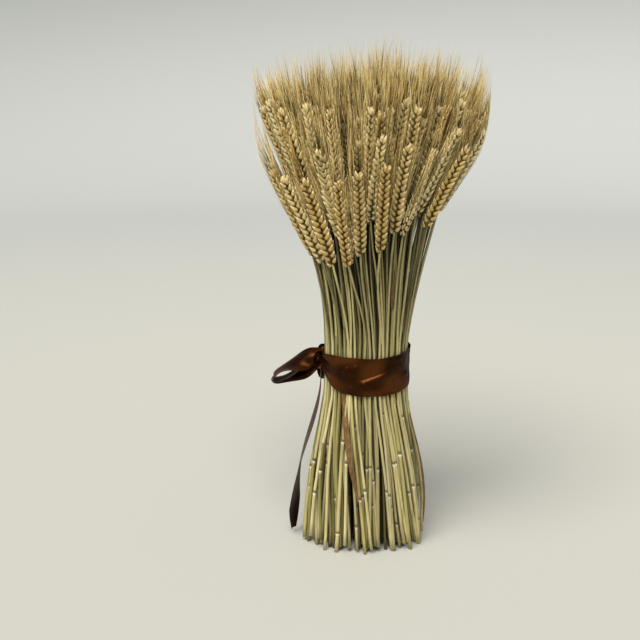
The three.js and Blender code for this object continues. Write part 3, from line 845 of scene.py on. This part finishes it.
def strip(name, path, across, width, relief, rows, columns=20, closed=False):
    """A strip of ribbon. t runs from 0 to 1 along it, v from -0.5 to 0.5 across it. The relief
    lifts it, and a closed one has its ends merged."""
    piece = added(bpy.ops.mesh.primitive_grid_add, name,
                  x_subdivisions=rows, y_subdivisions=columns, size=1000 * MM)
    flat = points(piece) / 1000
    t, v = flat[:, 0] + 0.5, flat[:, 1]
    side = unit(across(t))
    face = unit(np.cross(path(t + 0.002) - path(t - 0.002), side))
    set_points(piece, path(t) + side * (v * width(t))[:, None] + face * relief(t, v)[:, None])
    if closed:
        edit_all(piece)
        bpy.ops.mesh.remove_doubles(threshold=0.02 * MM)
        bpy.ops.object.mode_set(mode="OBJECT")
    thicken(piece, SATIN_THICK)
    bpy.ops.object.shade_smooth_by_angle(angle=math.radians(60))
    return piece


def upright(t):
    """Straight up, for each of an array of places along a path."""
    return np.tile(UP, (len(t), 1))


def outward(turn):
    """The level direction away from the axis, at an angle or an array of them."""
    turn = np.asarray(turn, float)
    return np.stack([np.cos(turn), np.sin(turn), np.zeros_like(turn)], -1)


# %% The band
RIBBON_OUT = WAIST + 0.4
KNOT_TURN, KNOT_Z = math.radians(166), 190
KNOT_AT = outward(KNOT_TURN) * (RIBBON_OUT + 5) + UP * KNOT_Z
GATHER = 0.7  # the share of its width that the ribbon loses where it is gathered
BAND_ROUND = 42.8  # the radius that the folds are measured on
FOLDS = [  # from and to, as an angle and a share of the width; how wide, how high, and its step
    ((310, 0.72), (262, 0.36), 1.5, 2.0, 0.16), ((262, 0.36), (293, 0.0), 1.5, 1.9, -0.15),
    ((264, 0.98), (276, 0.62), 1.0, -0.9, 0.05), ((216, 0.5), (258, 0.78), 2.4, 1.3, 0.0),
    ((281, 0.95), (318, 0.86), 2.2, 1.2, 0.0), ((246, 0.22), (262, 0.02), 2.0, 1.2, 0.0),
    ((300, 0.3), (335, 0.42), 2.6, 1.1, 0.0), ((238, 1.0), (246, 0.1), 2.0, 0.9, 0.05),
    ((224, 0.9), (231, 0.15), 2.2, 0.8, 0.0), ((284, 1.0), (292, 0.72), 1.3, 0.9, 0.0),
    ((341, 0.05), (346, 0.95), 1.7, 0.7, 0.0), ((30, 0.1), (60, 0.75), 1.5, 1.0, 0.1),
    ((95, 0.9), (120, 0.3), 1.5, 1.0, -0.1), ((204, 0.8), (262, 0.36), 1.2, 0.8, -0.06)]


def near_knot(t):
    """1 at the two ends of the band, falling to 0 along it."""
    return np.exp(-((np.minimum(t % 1, 1 - t % 1) / 0.12) ** 2))


def band_path(t):
    """Once round the waist, a little higher at the knot and the right, lower at the front."""
    place = outward(KNOT_TURN + 2 * math.pi * t) * (RIBBON_OUT + 0.75)
    turn = np.degrees(KNOT_TURN) + 360 * t
    front, right = (np.maximum(0, np.cos(np.radians(turn - side))) for side in (280, 20))
    return place + UP * (WAIST_Z + near_knot(t) * 5 - (2.5 * front - 1.5 * right))[:, None]


def fold(x, y, start, end, wide):
    """How high a fold from start to end is at x, y, as a share, and how far beside it that is."""
    (x0, y0), (x1, y1) = start, end
    length = math.hypot(x1 - x0, y1 - y0)
    along = ((x - x0) * (x1 - x0) + (y - y0) * (y1 - y0)) / length
    beside = ((x - x0) * (y1 - y0) - (y - y0) * (x1 - x0)) / length
    ends = smooth(along / 4 + 0.5) * smooth((length - along) / 4 + 0.5)
    return ends * np.exp(-((beside / wide) ** 2)), ends * beside


def band_relief(t, v):
    """Folds that run up and across, and pleats where the band is drawn into the knot."""
    turn = np.radians(np.degrees(KNOT_TURN) + 360 * (t % 1))
    x, y = turn * BAND_ROUND, (v + 0.5) * BAND
    relief = 0.5 * np.sin(turn * 9 + 5 * v) + 0.3 * np.sin(turn * 5 - 9 * v + 1)
    relief = relief + 0.7 * near_knot(t) * np.cos(2 * math.pi * 3 * v + 4 * turn)
    for start, end, wide, lift, step in FOLDS:
        for whole in (0, 360):  # the angles along the band run past one whole turn
            further = math.radians(whole) * BAND_ROUND
            ends = [(math.radians(degrees) * BAND_ROUND + further, share * BAND)
                    for degrees, share in (start, end)]
            ridge, beside = fold(x, y, *ends, wide)
            stepped = step * np.clip(beside, -5, 5) * np.exp(-np.abs(beside) / 5)
            relief = relief + lift * ridge + stepped
    return np.clip(relief, -0.9, 4.0) + 0.5


band = strip("ribbon_band", band_path, upright, lambda t: BAND * (1 - GATHER * near_knot(t)),
             band_relief, 270, 38, closed=True)
print("the band is", [round(v * 1000) for v in band.dimensions], "mm")


# %% The knot, once round itself, and the two loops
def knot_path(t):
    turn = 2 * math.pi * t
    out = outward(KNOT_TURN) * (4.8 * np.cos(turn) - 1)[:, None]
    return KNOT_AT + out + UP * (8.2 * np.sin(turn) + 0.5)[:, None]


def knot_relief(t, v):
    return 0.7 * np.cos(2 * math.pi * 3.4 * v + 1.2 * np.sin(2 * math.pi * t)) - 5 * v**2


knot = strip("ribbon_knot", knot_path,
             lambda t: np.tile(outward(KNOT_TURN + math.pi / 2), (len(t), 1)),
             lambda t: 14.5 + 2.0 * np.cos(4 * math.pi * t), knot_relief, 72, 28, closed=True)


def spread(t):
    """How far a loop has spread out of its gathers: 0 at its ends."""
    return smooth(np.minimum(t, 1 - t) * 5)


def opening(open_, t):
    """How far a loop's two halves are apart, once round it."""
    return (0.72 * open_ * np.sin(2 * math.pi * t) * np.sin(math.pi * t) ** 2
            + 3 * np.cos(math.pi * t))


def front_loop(heading, droop, length, open_, tilt):
    """The loop that stands out to the left: it leaves the knot on edge, turns flat, and comes back.
    It heads and droops by degrees, is opened by millimetres, and its face is tilted a little."""
    level = outward(math.radians(heading))
    way = level * math.cos(math.radians(droop)) - UP * math.sin(math.radians(droop))
    side = np.array([-level[1], level[0], 0.0])
    rise = np.cross(way, side)

    def flat(t):
        return smooth(np.minimum(t, 1 - t) * 2.7)

    def path(t):
        u = length * np.sin(math.pi * t) ** 2
        apart = 2.6 * (np.cos(math.pi * t) * (1 - flat(t)))[:, None] * side
        return KNOT_AT + UP * 2 + u[:, None] * way + opening(open_, t)[:, None] * rise + apart

    def across(t):
        return (side - UP * tilt) * flat(t)[:, None] - UP * (1 - flat(t))[:, None]

    def width(t):
        return BAND * mix(0.36, 1, flat(t))

    def relief(t, v):
        pleats = (1 - spread(t)) * 0.8 * np.cos(2 * math.pi * 3 * v)
        waves = 0.7 * np.sin(2 * math.pi * (v + 2.1 * t) + 0.3) + 0.6 * np.sin(9 * v + 14 * t)
        return pleats + spread(t) * waves

    return strip("ribbon_loop_1", path, across, width, relief, 100)


def back_loop(sweep, drop, out, open_):
    """The loop behind: on its edge, it goes on round the sheaf by sweep, in degrees, drops and
    stands out on its way, and comes back inside itself."""
    def path(t):
        u = np.sin(math.pi * t)
        r = RIBBON_OUT + 5 + out * u + opening(open_, t)
        turn = KNOT_TURN - np.radians(sweep) * u * np.abs(u) ** 0.4
        return outward(turn) * r[:, None] + UP * (KNOT_Z - drop * u)[:, None]

    def width(t):
        return BAND * mix(1 - GATHER, 1, spread(t))

    def relief(t, v):
        pleats = (1 - spread(t)) * 0.6 * np.cos(2 * math.pi * 3 * v)
        waves = 0.4 * np.sin(2 * math.pi * (v + 1.6 * t)) + 0.3 * np.sin(8 * v + 11 * t)
        return pleats + spread(t) * waves

    return strip("ribbon_loop_2", path, upright, width, relief, 100)


loops = [front_loop(heading=180, droop=27, length=54, open_=8, tilt=-0.12),
         back_loop(sweep=62, drop=20, out=10, open_=16)]
print("the loops reach out to", [round(abs(points(loop)[:, 0]).max()) for loop in loops], "mm")


# %% The tails
TAIL_CLEAR = 4  # how far a tail hangs off the stems, at the least


def tail(name, azimuth, drift, face, turn, length, wave, swing, stand_off):
    """A tail that falls from the knot beside the stems and drifts round them, to its slanting end.
    It faces away from outwards and then turns by degrees, swings out on its way down, and stands
    off the stems at its end; wave is where its ripple starts."""
    def path(t):
        z = mix(KNOT_Z - 7, KNOT_Z - length, t)
        way = np.radians(azimuth + drift * t)
        r = sheaf_radius(z) * flatness(z, way) + TAIL_CLEAR
        r = r + swing * np.sin(2.6 * np.clip(t, 0, 1)) + stand_off * t * t
        return outward(way) * r[:, None] + UP * z[:, None]

    def relief(t, v):
        ripple = 0.5 * np.cos(math.pi * v * 1.6 + wave) + 0.3 * np.sin(7 * t + 5 * v)
        return smooth(t * 4) * ripple - 1.2 * v * v

    def width(t):
        """Gathered at the knot, and cut to a point at the end."""
        pointed = mix(1, 0.25, np.clip((t - 0.84) / 0.16, 0, 1))
        return BAND * mix(1 - GATHER, 1, smooth(3 * t)) * pointed

    def across(t):
        return outward(np.radians(azimuth + drift * t + 90 + face + turn * np.clip(t, 0, 1) ** 3))

    return strip(name, path, across, width, relief, 100)


tails = [
    tail("ribbon_tail_1", azimuth=171, drift=0, face=9, turn=-26, length=186, wave=0.4, swing=2,
         stand_off=5),
    tail("ribbon_tail_2", azimuth=150, drift=-24, face=20, turn=0, length=163, wave=1.2, swing=1.5,
         stand_off=0)]
ribbon = [band, knot] + loops + tails
print("the ribbon's pieces have", [len(piece.data.polygons) for piece in ribbon], "faces")


# %% Satin
def satin_finish():
    """Woven polyester satin: long smooth threads on its face give a soft gloss along the folds, and
    cloudy light and dark patches of painted sheen lie over its brown.
    """
    made, tree, shader = material(
        "woven satin", Roughness=0.32, IOR=1.35, Metallic=0.6, Specular_Tint=linear("#a58468"))
    place = place_of(tree)
    # painted sheen: cloudy light and dark patches, standing in for satin's gloss
    painted_sheen = streaks(tree, place, 24, 15, 0.0)
    body = blend(tree, ramp(tree, painted_sheen, 0.28, 0.72), "#1e0c03", "#4c2910")
    # real threads are 0.1 mm thick; these are drawn coarse enough to show
    threads = streaks(tree, place, 0.5, 0.25, 1.0)
    final = blend(tree, times(tree, threads, 0.2), body, "#603818")
    finish_with(tree, shader, final, threads, 0.15, 0.0002)
    return made


SATIN = satin_finish()
for piece in ribbon:
    piece.data.materials.append(SATIN)
    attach(piece, "root")
    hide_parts("ribbon")

# %% [markdown]
# ## Stage, light and camera
# The stage is one large pale disc whose rim sweeps up all round, so that every side has the same
# ground; a flat disc would end in a hard line. A soft sun, high at the front left, gives every ear
# its light and its dark side, and the pale world fills the shadows.

# %% A floor that sweeps up, in metres
LEVEL, SWEEP, STEPS = 2.6, 1.0, 12  # the radius of its level part and of its sweep; the rings of it
floor = added(bpy.ops.mesh.primitive_circle_add, "floor",
              vertices=96, radius=LEVEL, fill_type="NGON")
edit_all(floor)
wide, tall = LEVEL, 0.0
for i in range(1, STEPS + 1):
    turn = math.radians(90 / STEPS * i)
    new_wide, new_tall = LEVEL + SWEEP * math.sin(turn), SWEEP * (1 - math.cos(turn))
    bpy.ops.mesh.extrude_region_move(TRANSFORM_OT_translate={"value": (0, 0, new_tall - tall)})
    bpy.ops.transform.resize(value=(new_wide / wide, new_wide / wide, 1))
    wide, tall = new_wide, new_tall
bpy.ops.mesh.delete(type="ONLY_FACE")
bpy.ops.mesh.select_all(action="SELECT")
bpy.ops.mesh.normals_make_consistent(inside=True)
bpy.ops.object.mode_set(mode="OBJECT")
bpy.ops.object.shade_smooth()

made, tree, shader = material("pale floor", Roughness=0.7)
place = place_of(tree)
across = add_node(tree, "ShaderNodeVectorMath", {"operation": "LENGTH"}, i0=place).outputs["Value"]
tone = blend(tree, ramp(tree, across, 0.5, 2.9), "#b2b1a8", "#a0a29f")
away = add_node(tree, "ShaderNodeVectorMath", {"operation": "DOT_PRODUCT"},
                i0=place, i1=(-0.4, -0.92, 0)).outputs["Value"]
# the side of the sweep that faces away from the sun is paler, to make up for it
finish_with(tree, shader, blend(tree, ramp(tree, away, 2.2, 3.3), tone, "#eef0ee"))
floor.data.materials.append(made)
print("the floor is", round(2 * wide, 1), "m wide")

# %% Light
world = bpy.data.worlds.new("studio")
bpy.context.scene.world = world
world.use_nodes = True
background = world.node_tree.nodes["Background"]
background.inputs["Color"].default_value = linear("#eef0f2")
background.inputs["Strength"].default_value = 0.4

key = bpy.data.objects.new("key", bpy.data.lights.new("key", "SUN"))
key.data.energy, key.data.angle = 4.65, math.radians(44)
key.data.color = linear("#fffdf9")[:3]
key.rotation_euler = Vector((0.24, 0.6, -1.0)).to_track_quat("-Z", "Y").to_euler()
bpy.context.scene.collection.objects.link(key)
print("a sun of", round(key.data.energy, 2), "W/m2")

# %% Camera, level across and looking down a little
DOWN = 13.75  # degrees
camera = bpy.data.objects.new("camera", bpy.data.cameras.new("camera"))
bpy.context.scene.collection.objects.link(camera)
bpy.context.scene.camera = camera
camera.data.lens = 55.9
camera.location = (-0.046, -0.955, 0.466)
camera.rotation_euler = (math.radians(90 - DOWN), 0, 0)
bpy.context.scene.view_settings.view_transform = "Standard"
print("the camera looks down by", DOWN, "degrees")
